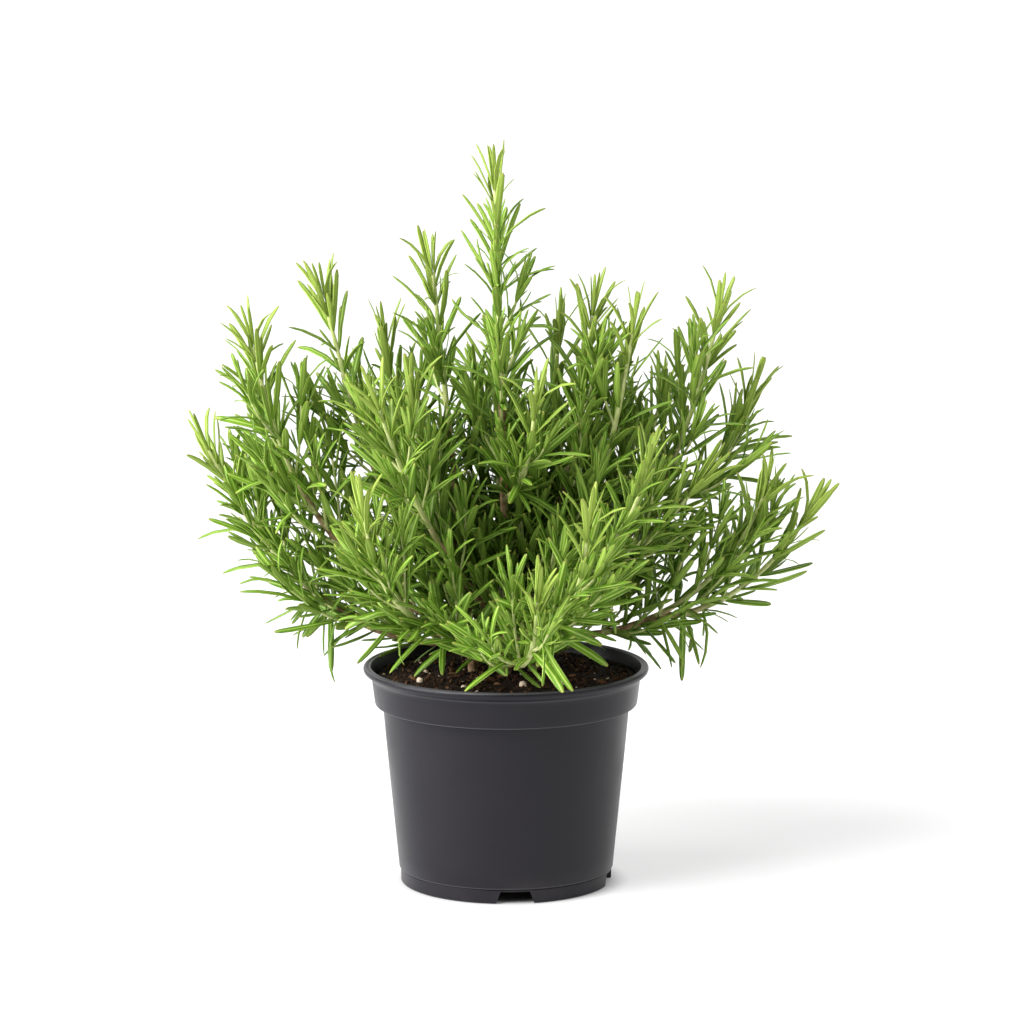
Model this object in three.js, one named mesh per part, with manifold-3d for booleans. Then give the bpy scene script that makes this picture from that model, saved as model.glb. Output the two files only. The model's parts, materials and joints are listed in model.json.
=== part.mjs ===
// Potted rosemary: a bushy rosemary plant growing in compost in a round plastic nursery pot.
// Millimetres, +Z up. The origin is the centre of the pot's foot, on the surface it stands on.
// +X is the plant's right-hand side and -Y its front.
//
// Four woody stems are rooted in the compost and carry 22 side branches between them. Each stem
// is one tapered solid. Its needle leaves, joined by the leaf bases that clasp the stem, are a
// second solid around it.
import * as THREE from "three";
import { mergeVertices } from "three/addons/utils/BufferGeometryUtils.js";
import Module from "manifold-3d";

const wasm = await Module();
wasm.setup();

// ---------------------------------------------------------------- driving dimensions

const GAP = 0.3; // between solids that touch

// The pot: a foot ring, a tapered wall, a wider collar and a flared rim with a rolled edge.
const POT_HEIGHT = 100;
const RIM_RADIUS = 65;
const RIM_ROUND = 1.2; // the rim's edge is a roll of this radius
const COLLAR_TOP_RADIUS = 61.2;
const COLLAR_FOOT_RADIUS = 59.8;
const COLLAR_FOOT = 82.5; // height of the collar's lower edge
const COLLAR_ROUND = 0.8; // rounding of the collar's lower edge
const COLLAR_TOP = 94; // height where the collar turns out into the rim
const WALL_TOP_RADIUS = 56.2;
const WALL_FOOT_RADIUS = 48.9;
const WALL = 1.2; // thickness
const FOOT_RADIUS = 48.2;
const FOOT_HEIGHT = 6.6;
const FOOT_ROUND = 0.4;
const FOOT_WIDTH = 2.4;
const FLOOR = 6; // height of the underside of the pot's raised floor
const POT_SIDES = 36;

// Notches in the foot ring, and the drain holes behind them, as angles from +X.
const NOTCH_ANGLES = [-85, -10, 95, 170];
const NOTCH = { top: 13, bottom: 17.5, height: 5.6 };
const DRAIN_RADIUS = 4;
const DRAIN_CIRCLE = 37; // radius of the circle that the drain holes lie on

// The compost fills the pot and its top is a low, uneven mound.
const SOIL_EDGE = 94;
const SOIL_MOUND = 1.5;
const SOIL_WAVES = 0.6;
const SOIL_RINGS = [0.84, 0.67, 0.5, 0.34, 0.17]; // of the mound, as shares of its radius
const SOIL_SIDES = 32;
const ROOT_DEPTH = 29; // how far a rooted stem reaches below SOIL_EDGE

// Stems and needles.
const STEM_SIDES = 5;
const STEM_STEP = 20; // length of one straight piece of a stem
const HANDLE = 0.4; // length of a stem curve's handles, as a share of its chord
const STEM_TIP_RADIUS = 0.9;
const SHEATH = 0.8; // thickness of the leaf bases round a stem
const BUD = 2.5; // how far the leaf bases close over a stem's tip
const BARE_STEM = 22; // leafless length above a stem's start
const LOWEST_LEAF = POT_HEIGHT + 2;
const ELBOW_ROOM = 2; // how much nearer a leaf's points are to its own stem than to any other
const NODE_SPACING = 13; // between one pair of leaves and the next
const NEEDLE = { length: 23, width: 3, thickness: 1.3, shortest: 8 };
const NEEDLE_SPREAD = { tip: 14, foot: 58 }; // degrees between a needle and its stem

// Every stem: the parent that it leaves at height `at`, or its foot in the compost, the place
// of its tip, and how steeply it rises at each end, in degrees above level.
const STEMS = [
  { name: "centre", foot: [0, 0], tip: [-5, 0, 317], rise: 90, tipRise: 88, radius: 3, bare: 50 },
  { name: "left", foot: [-13, 5], tip: [-33, 15, 278], rise: 86, tipRise: 84, radius: 2.6, bare: 50 },
  { name: "right", foot: [10, 6], tip: [39, 5, 260], rise: 88, tipRise: 84, radius: 2.6, bare: 50 },
  { name: "back", foot: [1, 17], tip: [-6, 70, 236], rise: 84, tipRise: 74, radius: 2.6, bare: 50 },

  { name: "left_low", parent: "left", at: 109, tip: [-135, 5, 198], rise: -4, tipRise: 62 },
  { name: "left_middle", parent: "left", at: 110, tip: [-113, -15, 249], rise: 28, tipRise: 80 },
  { name: "left_high", parent: "left", at: 122, tip: [-82, 10, 266], rise: 48, tipRise: 76 },
  { name: "left_front", parent: "left", at: 150, tip: [-42, -22, 227], rise: 45, tipRise: 82 },
  { name: "left_back", parent: "left", at: 142, tip: [-55, 33, 243], rise: 50, tipRise: 82 },

  { name: "front_left_high", parent: "centre", at: 116, tip: [-56, -55, 226], rise: 44, tipRise: 66 },
  { name: "front_left_low", parent: "centre", at: 104, tip: [-62, -74, 181], rise: 20, tipRise: 82 },
  { name: "front_centre", parent: "centre", at: 176, tip: [13, -48, 227], rise: 16, tipRise: 76 },
  { name: "front_right_high", parent: "centre", at: 122, tip: [63, -50, 201], rise: 32, tipRise: 76 },
  { name: "front_right_low", parent: "centre", at: 110, tip: [36, -90, 179], rise: 16, tipRise: 80 },
  { name: "front_low", parent: "centre", at: 101, tip: [14, -103, 149], rise: 12, tipRise: 66 },

  { name: "right_inner", parent: "right", at: 150, tip: [57, -8, 255], rise: 50, tipRise: 80 },
  { name: "right_high", parent: "right", at: 116, tip: [96, 12, 257], rise: 38, tipRise: 76 },
  { name: "right_middle", parent: "right", at: 130, tip: [86, -20, 186], rise: 26, tipRise: 52 },
  { name: "right_low", parent: "right", at: 112, tip: [117, 0, 178], rise: -3, tipRise: 68 },
  { name: "right_side", parent: "right_high", at: 160, tip: [112, 32, 218], rise: 30, tipRise: 74 },
  { name: "right_outer", parent: "right_low", at: 120, tip: [137, 10, 166], rise: 4, tipRise: 54 },

  { name: "back_inner", parent: "back", at: 140, tip: [24, 40, 245], rise: 60, tipRise: 86 },
  { name: "back_right", parent: "back", at: 118, tip: [72, 46, 217], rise: 40, tipRise: 76 },
  { name: "back_left", parent: "back", at: 112, tip: [-64, 66, 206], rise: 38, tipRise: 74 },
  { name: "back_far_right", parent: "back", at: 106, tip: [42, 104, 178], rise: 22, tipRise: 72 },
  { name: "back_far_left", parent: "back", at: 100, tip: [-30, 106, 158], rise: 16, tipRise: 70 },
];
const BRANCH_RADIUS = 1.9; // of a side branch where it leaves its parent

// Pale grains of perlite lying on the compost: place and size.
const GRAINS = [
  { at: [-39, -16], radius: 1.6 },
  { at: [-36.6, 6], radius: 1.2 },
  { at: [-19, -29], radius: 1.2 },
  { at: [-12.6, -16], radius: 1.1 },
  { at: [7.6, -29], radius: 1.6 },
  { at: [24.4, -26], radius: 2.1 },
];

// ---------------------------------------------------------------- materials

const material = (color, roughness) =>
  new THREE.MeshStandardMaterial({ color, roughness, metalness: 0 });
const POT_PLASTIC = material(0x35353a, 0.5);
const COMPOST = material(0x2a1a10, 0.95);
const PERLITE = material(0xd8c9ae, 0.9);
const WOOD = material(0x8a6a4c, 0.8);
const LEAF = material(0x6f9a3a, 0.55);

// ---------------------------------------------------------------- solids

const radians = THREE.MathUtils.degToRad;

// A closed three.js geometry as a manifold-3d solid.
function solid(geometry) {
  const bare = geometry.clone();
  bare.deleteAttribute("normal");
  bare.deleteAttribute("uv");
  const merged = mergeVertices(bare, 1e-4);
  const vertProperties = merged.attributes.position.array;
  const triVerts = new Uint32Array(merged.index.array);
  return new wasm.Manifold(new wasm.Mesh({ numProp: 3, vertProperties, triVerts }));
}

// The largest body of a manifold-3d solid, as a three.js geometry.
function geometryOf(made) {
  const bodies = made.decompose().sort((a, b) => b.volume() - a.volume());
  const { numProp, vertProperties, triVerts } = bodies[0].getMesh();
  const all = new THREE.InterleavedBuffer(vertProperties, numProp);
  return new THREE.BufferGeometry()
    .setAttribute("position", new THREE.InterleavedBufferAttribute(all, 3, 0))
    .setIndex(new THREE.BufferAttribute(triVerts, 1));
}

// A profile of [radius, height] points turned about the Z axis.
function turned(profile, sides) {
  const points = profile.map(([radius, height]) => new THREE.Vector2(radius, height));
  return new THREE.LatheGeometry(points, sides).rotateX(Math.PI / 2);
}

// An arc of [radius, height] points, with its angles in degrees.
function arc(centre, radius, from, to, steps) {
  return Array.from({ length: steps + 1 }, (_, i) => {
    const angle = radians(from + ((to - from) * i) / steps);
    return [centre[0] + radius * Math.cos(angle), centre[1] + radius * Math.sin(angle)];
  });
}

// ---------------------------------------------------------------- pot and compost

// The pot's inner surface, from its floor up, as [radius, height] points.
const POT_INSIDE = [
  [WALL_FOOT_RADIUS - WALL, FLOOR + WALL],
  [WALL_TOP_RADIUS - WALL, COLLAR_FOOT + WALL],
  [COLLAR_FOOT_RADIUS - WALL, COLLAR_FOOT + WALL],
  [COLLAR_TOP_RADIUS - WALL, COLLAR_TOP + WALL / 2],
];

function pot() {
  const shell = turned(
    [
      [0, FLOOR],
      [FOOT_RADIUS - FOOT_WIDTH, FLOOR],
      [FOOT_RADIUS - FOOT_WIDTH, 0],
      [FOOT_RADIUS - FOOT_ROUND, 0],
      [FOOT_RADIUS, FOOT_ROUND],
      [FOOT_RADIUS, FOOT_HEIGHT],
      [WALL_FOOT_RADIUS, FOOT_HEIGHT],
      [WALL_TOP_RADIUS, COLLAR_FOOT],
      ...arc([COLLAR_FOOT_RADIUS - COLLAR_ROUND, COLLAR_FOOT + COLLAR_ROUND], COLLAR_ROUND, -90, 0, 2),
      [COLLAR_TOP_RADIUS, COLLAR_TOP],
      ...arc([RIM_RADIUS - RIM_ROUND, POT_HEIGHT - RIM_ROUND], RIM_ROUND, -45, 135, 4),
      ...POT_INSIDE.toReversed(),
      [0, FLOOR + WALL],
    ],
    POT_SIDES,
  );
  const corners = [
    [-NOTCH.bottom / 2, -1],
    [NOTCH.bottom / 2, -1],
    [NOTCH.top / 2, NOTCH.height],
    [-NOTCH.top / 2, NOTCH.height],
  ];
  const opening = new THREE.Shape(corners.map(([x, y]) => new THREE.Vector2(x, y)));
  const cutLength = 12;
  let made = solid(shell);
  for (const degrees of NOTCH_ANGLES) {
    const angle = radians(degrees);
    const notch = new THREE.ExtrudeGeometry(opening, { depth: cutLength, bevelEnabled: false })
      .translate(0, 0, FOOT_RADIUS - cutLength / 2)
      .rotateX(Math.PI / 2)
      .rotateZ(angle + Math.PI / 2);
    const drain = new THREE.CylinderGeometry(DRAIN_RADIUS, DRAIN_RADIUS, 4 * WALL, 16)
      .rotateX(Math.PI / 2)
      .translate(DRAIN_CIRCLE, 0, FLOOR)
      .rotateZ(angle);
    made = made.subtract(solid(notch)).subtract(solid(drain));
  }
  return geometryOf(made);
}

// Height of the compost's surface at a place.
function soilTop(x, y) {
  const share = Math.min(1, Math.hypot(x, y) / COLLAR_FOOT_RADIUS);
  const waves = SOIL_WAVES * Math.sin(x / 9) * Math.cos(y / 11);
  return SOIL_EDGE + (SOIL_MOUND + waves) * (1 - share * share);
}

function compost(rooted) {
  const [floor, ledge, collar] = POT_INSIDE;
  const edgeRadius = collar[0] + 1.2; // the collar is a little wider at the compost's edge
  const mound = turned(
    [
      [0, floor[1] + GAP],
      [floor[0] - GAP, floor[1] + GAP],
      [ledge[0] - GAP, ledge[1] + GAP],
      [collar[0] - GAP, collar[1] + GAP],
      [edgeRadius - GAP, SOIL_EDGE],
      ...SOIL_RINGS.map((share) => [share * edgeRadius, SOIL_EDGE + 1]),
      [0, SOIL_EDGE + 1],
    ],
    SOIL_SIDES,
  );
  const place = mound.attributes.position;
  for (let i = 0; i < place.count; i++) {
    if (place.getZ(i) > SOIL_EDGE) place.setZ(i, soilTop(place.getX(i), place.getY(i)));
  }
  return geometryOf(clearOf(solid(mound), rooted));
}

function grain({ at: [x, y], radius }) {
  const lump = new THREE.IcosahedronGeometry(radius, 0).scale(1.15, 0.9, 0.8);
  const geometry = geometryOf(solid(lump.rotateZ(x)));
  return geometry.translate(x, y, soilTop(x, y) + 0.8 * radius + 2 * GAP);
}

// ---------------------------------------------------------------- stems

// The centre line of a stem: it leaves `from` rising by `rise` and ends at its tip at `tipRise`.
function centreLine(from, { tip, rise, tipRise }) {
  const to = new THREE.Vector3(...tip);
  const level = to.clone().sub(from).setZ(0).normalize();
  const handle = (degrees) => {
    const length = HANDLE * from.distanceTo(to);
    const climb = length * Math.sin(radians(degrees));
    return level.clone().multiplyScalar(length * Math.cos(radians(degrees))).setZ(climb);
  };
  const first = from.clone().add(handle(rise));
  const last = to.clone().sub(handle(tipRise));
  return { curve: new THREE.CubicBezierCurve3(from, first, last, to), level };
}

// The point where a curve climbs past a height.
function pointAtHeight(curve, height) {
  let [low, high] = [0, 1];
  for (let halving = 0; halving < 30; halving++) {
    const middle = (low + high) / 2;
    if (curve.getPointAt(middle).z < height) low = middle;
    else high = middle;
  }
  return curve.getPointAt(low);
}

// All the stems, each with its centre line, its length and its radius where it starts.
function growStems() {
  const stems = [];
  for (const row of STEMS) {
    const parent = stems.find((stem) => stem.name === row.parent);
    const start = parent
      ? pointAtHeight(parent.curve, row.at)
      : new THREE.Vector3(...row.foot, SOIL_EDGE - ROOT_DEPTH);
    const { curve, level } = centreLine(start, row);
    const across = new THREE.Vector3(-level.y, level.x, 0);
    const length = curve.getLength();
    const line = curve.getSpacedPoints(Math.ceil(length / 3));
    stems.push({ radius: BRANCH_RADIUS, bare: BARE_STEM, ...row, curve, across, length, line });
  }
  return stems;
}

// The place `distance` along a stem. Beyond either end the line runs straight on.
function placeOn({ curve, length }, distance) {
  const share = THREE.MathUtils.clamp(distance / length, 0, 1);
  const along = curve.getTangentAt(share);
  const point = curve.getPointAt(share).addScaledVector(along, distance - share * length);
  return { point, along };
}

// A round bar that tapers as it follows a stem, larger all round by `extra`.
function bar(stem, from, to, footRadius, tipRadius, extra = 0) {
  const half = (to - from) / 2;
  const steps = Math.max(2, Math.round((to - from) / STEM_STEP));
  const [thin, thick] = [tipRadius + extra, footRadius + extra];
  const geometry = new THREE.CylinderGeometry(thin, thick, 2 * half, STEM_SIDES, steps);
  const place = geometry.attributes.position;
  for (let i = 0; i < place.count; i++) {
    const height = place.getY(i);
    const atEnd = Math.abs(height) > half - 0.01;
    const reach = height + (atEnd ? Math.sign(height) * extra : 0);
    const { point, along } = placeOn(stem, from + half + reach);
    const third = new THREE.Vector3().crossVectors(stem.across, along);
    point.addScaledVector(stem.across, place.getX(i)).addScaledVector(third, place.getZ(i));
    place.setXYZ(i, ...point);
  }
  return solid(geometry);
}

const stemSolid = (stem, extra = 0) =>
  bar(stem, 0, stem.length, stem.radius, STEM_TIP_RADIUS, extra);

// A solid with room cut in it for other stems to pass through.
const clearOf = (made, stems) =>
  stems.reduce((left, stem) => left.subtract(stemSolid(stem, GAP)), made);

// ---------------------------------------------------------------- leaves

const distanceTo = (stem, point) =>
  stem.line.reduce((least, each) => Math.min(least, each.distanceTo(point)), Infinity);

// Whether a leaf's point hangs into the pot, or is nearly as close to another stem as its own.
function strays(point, stem, others) {
  if (point.z < LOWEST_LEAF) return true;
  const own = distanceTo(stem, point) + ELBOW_ROOM;
  return others.some((other) => distanceTo(other, point) < own);
}

// One needle leaf, or nothing where other stems leave it no room.
function needle(stem, others, foot, direction, across) {
  const pointAt = (reach) => foot.clone().addScaledVector(direction, reach);
  let { length } = NEEDLE;
  while (length > NEEDLE.shortest && strays(pointAt(length), stem, others)) length -= 3;
  if ([length, length / 2].some((reach) => strays(pointAt(reach), stem, others))) return null;
  const blade = new THREE.ConeGeometry(1, length, 3).translate(0, length / 2, 0);
  blade.scale(NEEDLE.width / Math.sqrt(3), 1, NEEDLE.thickness / 1.5);
  const third = new THREE.Vector3().crossVectors(across, direction);
  const turn = new THREE.Matrix4().makeBasis(across, direction, third).setPosition(foot);
  return solid(blade.applyMatrix4(turn));
}

// The needles of one stem, in crossed pairs, joined by the leaf bases that clasp the stem.
function leaves(stem, others) {
  const { length, radius, bare } = stem;
  const footRadius = THREE.MathUtils.lerp(radius, STEM_TIP_RADIUS, bare / length);
  const thickness = GAP + SHEATH;
  const tipRadius = STEM_TIP_RADIUS + thickness;
  const parts = [bar(stem, bare, length + BUD, footRadius + thickness, tipRadius)];
  const pairs = Math.floor((length - bare) / NODE_SPACING);
  for (let pair = 0; pair <= pairs; pair++) {
    const { point, along } = placeOn(stem, length - pair * NODE_SPACING);
    const opening = THREE.MathUtils.clamp(pair / 5, 0, 1);
    const spread = radians(THREE.MathUtils.lerp(NEEDLE_SPREAD.tip, NEEDLE_SPREAD.foot, opening));
    for (const side of [0.5, 2.5]) {
      const round = (side + (pair % 2)) * (Math.PI / 2);
      const out = stem.across.clone().applyAxisAngle(along, round);
      const across = new THREE.Vector3().crossVectors(out, along);
      const direction = along.clone().multiplyScalar(Math.cos(spread));
      direction.addScaledVector(out, Math.sin(spread));
      parts.push(needle(stem, others, point, direction, across));
    }
  }
  const joined = wasm.Manifold.union(parts.filter((part) => part));
  return geometryOf(clearOf(joined, [stem, ...others]));
}

// ---------------------------------------------------------------- the potted plant

const plant = new THREE.Group();

function add(name, geometry, finish) {
  const mesh = new THREE.Mesh(geometry, finish);
  mesh.name = name;
  plant.add(mesh);
}

const stems = growStems();
add("nursery_pot", pot(), POT_PLASTIC);
add("compost", compost(stems.filter((stem) => stem.foot)), COMPOST);
GRAINS.forEach((row, i) => add(`perlite_grain_${i + 1}`, grain(row), PERLITE));
stems.forEach((stem, i) => {
  const others = stems.filter((other) => other !== stem);
  add(`stem_${stem.name}`, geometryOf(clearOf(stemSolid(stem), stems.slice(0, i))), WOOD);
  add(`leaves_${stem.name}`, leaves(stem, others), LEAF);
});

export default plant;
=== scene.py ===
# %% [markdown]
# # A potted rosemary
#
# A bushy rosemary grows in compost in a black plastic nursery pot. The pot, the compost, the
# wood and the leaves are made one after another, each in a few short steps.
#
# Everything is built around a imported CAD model, which is loaded first. It gives the pot's size
# and the centre line of every stem, so nothing has to be fitted afterwards. Its box is kept,
# because the finished plant may stand only a little proud of it.

# %% Load the frame
import json
from math import cos, pi, radians, sin
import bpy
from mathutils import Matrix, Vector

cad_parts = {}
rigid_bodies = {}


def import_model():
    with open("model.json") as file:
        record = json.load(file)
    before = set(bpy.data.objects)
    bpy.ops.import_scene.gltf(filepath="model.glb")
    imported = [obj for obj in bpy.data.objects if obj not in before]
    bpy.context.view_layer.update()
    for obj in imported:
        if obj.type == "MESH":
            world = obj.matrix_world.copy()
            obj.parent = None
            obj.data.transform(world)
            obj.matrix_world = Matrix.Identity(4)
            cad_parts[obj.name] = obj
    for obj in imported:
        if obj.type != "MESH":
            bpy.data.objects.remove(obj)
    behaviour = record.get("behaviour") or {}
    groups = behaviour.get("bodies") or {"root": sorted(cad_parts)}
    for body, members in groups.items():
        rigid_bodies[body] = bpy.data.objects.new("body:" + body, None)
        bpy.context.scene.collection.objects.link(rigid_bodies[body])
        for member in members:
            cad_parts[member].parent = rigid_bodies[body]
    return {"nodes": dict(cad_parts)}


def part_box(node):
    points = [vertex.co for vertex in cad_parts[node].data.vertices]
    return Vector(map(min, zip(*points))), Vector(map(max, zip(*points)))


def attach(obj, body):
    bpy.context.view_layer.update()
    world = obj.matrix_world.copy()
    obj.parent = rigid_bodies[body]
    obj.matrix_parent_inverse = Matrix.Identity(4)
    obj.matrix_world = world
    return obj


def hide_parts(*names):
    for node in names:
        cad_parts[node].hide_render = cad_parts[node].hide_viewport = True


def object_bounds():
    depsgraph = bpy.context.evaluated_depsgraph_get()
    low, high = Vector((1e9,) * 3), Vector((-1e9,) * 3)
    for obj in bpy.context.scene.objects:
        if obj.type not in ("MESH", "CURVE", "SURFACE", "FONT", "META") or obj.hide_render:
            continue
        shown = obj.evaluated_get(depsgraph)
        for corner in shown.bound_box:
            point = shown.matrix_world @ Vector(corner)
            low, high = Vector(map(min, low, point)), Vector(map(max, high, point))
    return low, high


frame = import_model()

from types import SimpleNamespace

import bpy
import numpy as np
from mathutils import kdtree

MM = 0.001
UP = np.array([0.0, 0.0, 1.0])
cad_box = [list(corner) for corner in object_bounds()]
pot_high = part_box("nursery_pot")[1]
POT_RADIUS, POT_HEIGHT = pot_high.x, pot_high.z
print("CAD box:", cad_box)
print("pot radius and height:", round(POT_RADIUS, 4), round(POT_HEIGHT, 4))

# %% [markdown]
# ## Camera and studio
#
# A long lens from more than two metres away keeps the pot's ellipses flat. The floor is a plain
# white sheet so wide that it fills the view, a broad lamp on the left gives one soft shadow, and
# a white surround fills the rest.

# %% Camera
CAMERA_PLACE = (0.0027, -2.2513, 0.5614)
CAMERA_TILT = 9.85  # degrees below level
bpy.ops.object.camera_add(location=CAMERA_PLACE, rotation=(radians(90 - CAMERA_TILT), 0, 0))
camera = bpy.context.object
camera.data.lens = 177.3
camera.data.sensor_width = 36
bpy.context.scene.camera = camera
print("camera sees", round(2 * np.degrees(np.arctan(18 / camera.data.lens)), 1), "degrees")

# %% Floor, lamps and surround
FLOOR_WHITE = (0.4, 0.4, 0.4, 1)
FLOOR_GLOW = 0.58
GLOW_STARTS, GLOW_FULL = 0.040, 0.058  # metres from the pot's axis where the floor's glow fades in: none under the pot, a painted shadow beneath it and round its foot
FLOOR_DROP = 0.0002  # metres below the pot's foot, so that the two faces don't flicker
SKY_FRONT, SKY_BACK = 0.14, 0.9  # the surround is dim in front and bright behind


def plain_material(name, color, roughness):
    material = bpy.data.materials.new(name)
    material.use_nodes = True
    shader = material.node_tree.nodes["Principled BSDF"]
    shader.inputs["Base Color"].default_value = color
    shader.inputs["Roughness"].default_value = roughness
    return material


bpy.ops.mesh.primitive_plane_add(size=60, location=(0, 0, -FLOOR_DROP))
floor = bpy.context.object
floor.name = "floor"
paper = plain_material("floor paper", FLOOR_WHITE, 0.9)
paper.node_tree.nodes["Principled BSDF"].inputs["Emission Strength"].default_value = FLOOR_GLOW
nodes, links = paper.node_tree.nodes, paper.node_tree.links
distance = nodes.new("ShaderNodeVectorMath")
distance.operation = "LENGTH"
links.new(nodes.new("ShaderNodeTexCoord").outputs["Object"], distance.inputs[0])
# The glow fades out towards the pot, so the floor under and round its foot is painted in shadow.
glow_outside_painted_shadow = nodes.new("ShaderNodeMapRange")
glow_outside_painted_shadow.interpolation_type = "SMOOTHSTEP"
glow_outside_painted_shadow.inputs["From Min"].default_value = GLOW_STARTS
glow_outside_painted_shadow.inputs["From Max"].default_value = GLOW_FULL
links.new(distance.outputs["Value"], glow_outside_painted_shadow.inputs["Value"])
links.new(glow_outside_painted_shadow.outputs["Result"], paper.node_tree.nodes["Principled BSDF"].inputs["Emission Color"])
floor.data.materials.append(paper)

bpy.ops.object.light_add(type="SUN", rotation=(radians(40), 0, radians(-46)))
sun = bpy.context.object
sun.data.energy = 3.6
sun.data.angle = radians(30)
bpy.ops.object.light_add(type="SUN", rotation=(radians(55), 0, radians(62)))
card = bpy.context.object
card.data.energy = 0.7
card.data.angle = radians(60)
bpy.ops.object.light_add(
    type="AREA", location=(-1.6, -0.6, 0.7), rotation=(0, radians(-78), radians(18))
)
softbox = bpy.context.object
softbox.data.shape = "RECTANGLE"
softbox.data.size = 1.2
softbox.data.size_y = 1.6
softbox.data.energy = 52

surround = bpy.data.worlds.new("surround")
surround.use_nodes = True
surround.node_tree.nodes["Background"].inputs["Color"].default_value = (1, 1, 1, 1)
sky = surround.node_tree
facing = sky.nodes.new("ShaderNodeSeparateXYZ")
sky.links.new(sky.nodes.new("ShaderNodeTexCoord").outputs["Generated"], facing.inputs[0])
falloff = sky.nodes.new("ShaderNodeMapRange")
sky_range = (("From Min", -0.1), ("From Max", 0.8), ("To Min", SKY_FRONT), ("To Max", SKY_BACK))
for label, number in sky_range:
    falloff.inputs[label].default_value = number
sky.links.new(facing.outputs["Y"], falloff.inputs["Value"])
sky.links.new(falloff.outputs["Result"], sky.nodes["Background"].inputs["Strength"])
bpy.context.scene.world = surround
bpy.context.scene.view_settings.view_transform = "Standard"
print("stage ready")

# %% [markdown]
# ## Working by hand
#
# An edit-mode operator acts on everything that is selected, so each step starts with nothing
# selected. Points are then picked by a rule, such as "all points below this height", just as a
# modeller would box-select them.

# %% Helpers for picking and shaping


def deselect():
    if bpy.context.mode != "OBJECT":
        bpy.ops.object.mode_set(mode="OBJECT")
    bpy.ops.object.select_all(action="DESELECT")


def make_active(piece):
    deselect()
    piece.select_set(True)
    bpy.context.view_layer.objects.active = piece


def points_of(mesh):
    flat = np.empty(3 * len(mesh.vertices))
    mesh.vertices.foreach_get("co", flat)
    return flat.reshape(-1, 3)


def pick_points(rule):
    """In edit mode, selects the points of the active piece for which the rule holds."""
    bpy.ops.mesh.select_mode(type="VERT")
    bpy.ops.mesh.select_all(action="DESELECT")
    bpy.ops.object.mode_set(mode="OBJECT")
    mesh = bpy.context.object.data
    mesh.vertices.foreach_set("select", rule(points_of(mesh)))
    bpy.ops.object.mode_set(mode="EDIT")


def apply_modifiers(piece):
    make_active(piece)
    for modifier in list(piece.modifiers):
        bpy.ops.object.modifier_apply(modifier=modifier.name)


def settle(piece, name, smooth_below=None):
    """Names a finished piece, puts its place into its mesh and shades it."""
    make_active(piece)
    bpy.ops.object.transform_apply(location=True, rotation=True, scale=True)
    piece.name = name
    piece.data.name = name
    if smooth_below:
        bpy.ops.object.shade_smooth_by_angle(angle=radians(smooth_below))
    return piece


def turn_on_a_lathe(outline, sides):
    """A shape of revolution: a ring of points is extruded along an outline of (radius, height)
    pairs, and its two ends are closed with flat faces."""
    deselect()
    radius, height = outline[0]
    bpy.ops.mesh.primitive_circle_add(
        vertices=sides, radius=radius, fill_type="NGON", location=(0, 0, height)
    )
    bpy.ops.object.mode_set(mode="EDIT")
    bpy.ops.mesh.select_all(action="SELECT")
    for (radius, height), (next_radius, next_height) in zip(outline, outline[1:]):
        step = (0, 0, next_height - height)
        bpy.ops.mesh.extrude_edges_move(TRANSFORM_OT_translate={"value": step})
        grow = next_radius / radius
        bpy.ops.transform.resize(value=(grow, grow, 1), center_override=(0, 0, next_height))
    bpy.ops.mesh.edge_face_add()
    bpy.ops.mesh.select_all(action="SELECT")
    bpy.ops.mesh.normals_make_consistent(inside=False)
    bpy.ops.object.mode_set(mode="OBJECT")
    bpy.ops.object.transform_apply(location=True)
    return bpy.context.object


print("helpers ready")

# %% [markdown]
# ## The pot
#
# A nursery pot is one thin injection-moulded shell, so its section is the same all the way
# round. Extruding one ring of points up the outside, over the rim and down the inside gives the
# foot, the wall, the collar and the flared rim in one pass, with the thin lines where the mould's
# parts met. A spin would do as well, but rings keep the mesh even.
#
# The four drainage notches in the foot and the holes behind them are cut at the end.

# %% Turn the pot
POT_SIDES = 180
outside = [
    (3.0, 6.5), (3.4, 6.0), (24.0, 6.0), (24.5, 5.6), (25.5, 5.6), (26.0, 6.0), (44.9, 6.0),
    (45.7, 5.2), (45.9, 0.4), (46.3, 0.0), (47.7, 0.0), (48.15, 0.45), (48.2, 6.0),
    (48.0, 6.3), (48.05, 6.55), (48.75, 6.7), (48.95, 7.1), (49.6, 14.0), (51.4, 32.0),
    (53.2, 50.0), (55.0, 69.0), (56.05, 80.6), (56.25, 81.9), (56.7, 82.35), (59.1, 82.5),
    (59.6, 82.75), (59.82, 83.4), (60.3, 87.0), (61.05, 93.0),
]
rim = [
    (61.3, 94.1), (61.9, 95.1), (62.9, 96.1), (64.0, 96.9), (64.65, 97.5), (64.95, 98.2),
    (65.0, 98.9), (64.75, 99.5), (64.3, 99.88), (63.8, 100.0), (63.35, 99.85), (63.0, 99.55),
    (62.65, 99.55), (62.3, 99.8), (61.95, 99.85), (61.6, 99.6), (61.3, 98.8), (60.6, 96.0),
]
inside = [
    (60.0, 93.5), (58.7, 84.6), (58.3, 83.9), (57.4, 83.6), (55.4, 83.4), (54.9, 82.8),
    (53.8, 69.0), (50.2, 32.0), (47.8, 9.5), (47.3, 8.0), (46.0, 7.2), (3.0, 7.2),
]
pot_outline = [(radius * MM, height * MM) for radius, height in outside + rim + inside]
pot = turn_on_a_lathe(pot_outline, POT_SIDES)
print("pot rings:", len(pot_outline), "faces:", len(pot.data.polygons))

# %% Cut the notches and the drain holes
NOTCH_ANGLES = (-85, -10, 95, 170)  # degrees from +X
NOTCH_TOP, NOTCH_FOOT, NOTCH_HEIGHT = 13.2 * MM, 17.6 * MM, 5.5 * MM
DRAIN_RADIUS, DRAIN_CIRCLE = 4 * MM, 37 * MM


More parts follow.
